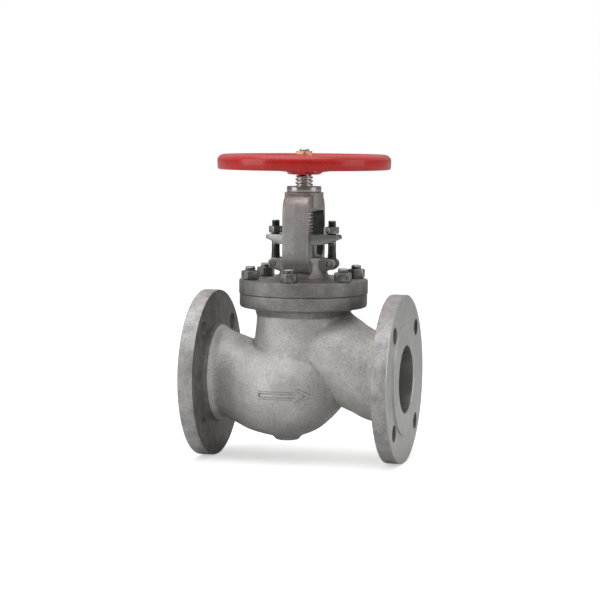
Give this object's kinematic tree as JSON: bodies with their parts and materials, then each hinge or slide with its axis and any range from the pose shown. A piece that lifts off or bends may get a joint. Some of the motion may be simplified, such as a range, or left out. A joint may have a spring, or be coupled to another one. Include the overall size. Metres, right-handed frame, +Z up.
{
  "type": "globe valve",
  "caption": "Flanged globe valve with a bolted bonnet and cast yoke, a rising stem turned by a handwheel, a lifting disc on a conical seat, and a packing gland on swing bolts.",
  "frame": {"origin": "where the pipe axis meets the stem axis, midway between the two flange faces", "axes": "+X along the pipe, the way the flow goes, out of the outlet flange; +Z up the stem to the handwheel; +Y across both"},
  "size_m": [0.241, 0.196, 0.352],
  "materials": {
    "cast_steel": "rough sand-cast stainless steel, shot-blasted and pickled, matt",
    "machined_steel": "turned stainless steel, satin",
    "stem_steel": "ground and polished stainless steel",
    "fastener_steel": "dark oily stainless steel, satin",
    "red_paint": "glossy enamel on cast iron",
    "brass": "dull brass",
    "graphite": "pressed graphite"
  },
  "bodies": {
    "casing": {"body": "cast_steel", "bonnet": "cast_steel", "bonnet_gasket": "graphite", "bonnet_stud_1": "fastener_steel", "bonnet_stud_2": "fastener_steel", "bonnet_stud_3": "fastener_steel", "bonnet_stud_4": "fastener_steel", "bonnet_stud_5": "fastener_steel", "bonnet_stud_6": "fastener_steel", "bonnet_nut_1": "fastener_steel", "bonnet_nut_2": "fastener_steel", "bonnet_nut_3": "fastener_steel", "bonnet_nut_4": "fastener_steel", "bonnet_nut_5": "fastener_steel", "bonnet_nut_6": "fastener_steel", "yoke_bush": "machined_steel", "yoke_bush_screw": "fastener_steel", "packing_washer": "machined_steel", "packing_ring_1": "graphite", "packing_ring_2": "graphite", "packing_ring_3": "graphite", "packing_ring_4": "graphite", "packing_ring_5": "graphite", "gland_pin_left": "fastener_steel", "gland_pin_right": "fastener_steel"},
    "disc": {"disc": "machined_steel", "disc_nut": "machined_steel"},
    "stem": {"stem": "stem_steel", "handwheel": "red_paint", "wheel_washer": "machined_steel", "wheel_nut": "brass"},
    "gland": {"gland": "machined_steel"},
    "gland_bolt_left": {"gland_bolt_left": "fastener_steel"},
    "gland_nut_left": {"gland_nut_left": "fastener_steel"},
    "gland_bolt_right": {"gland_bolt_right": "fastener_steel"},
    "gland_nut_right": {"gland_nut_right": "fastener_steel"}
  },
  "joints": [
    {"name": "disc_lift", "type": "slide", "parent": "casing", "child": "disc", "axis": [0, 0, 1], "range_m": [0, 0.024]},
    {"name": "handwheel_turn", "type": "hinge", "parent": "disc", "child": "stem", "pos_m": [0, 0, 0.2], "axis": [0, 0, 1], "range_deg": [0, 2160]},
    {"name": "gland_slide", "type": "slide", "parent": "casing", "child": "gland", "axis": [0, 0, 1], "range_m": [-0.004, 0], "deforming": ["packing_ring_1", "packing_ring_2", "packing_ring_3", "packing_ring_4", "packing_ring_5"]},
    {"name": "gland_bolt_left_swing", "type": "hinge", "parent": "casing", "child": "gland_bolt_left", "pos_m": [-0.033, 0, 0.128], "axis": [0, -1, 0], "range_deg": [0, 90]},
    {"name": "gland_nut_left_run", "type": "slide", "parent": "gland_bolt_left", "child": "gland_nut_left", "axis": [0, 0, 1], "range_m": [-0.004, 0]},
    {"name": "gland_bolt_right_swing", "type": "hinge", "parent": "casing", "child": "gland_bolt_right", "pos_m": [0.033, 0, 0.128], "axis": [0, 1, 0], "range_deg": [0, 90]},
    {"name": "gland_nut_right_run", "type": "slide", "parent": "gland_bolt_right", "child": "gland_nut_right", "axis": [0, 0, 1], "range_m": [-0.004, 0]}
  ],
  "couplings": [
    {"joint": "disc_lift", "follows": "handwheel_turn", "m_per_rad": 0.00063662},
    {"joint": "gland_nut_left_run", "follows": "gland_slide", "ratio": 1},
    {"joint": "gland_nut_right_run", "follows": "gland_slide", "ratio": 1}
  ]
}
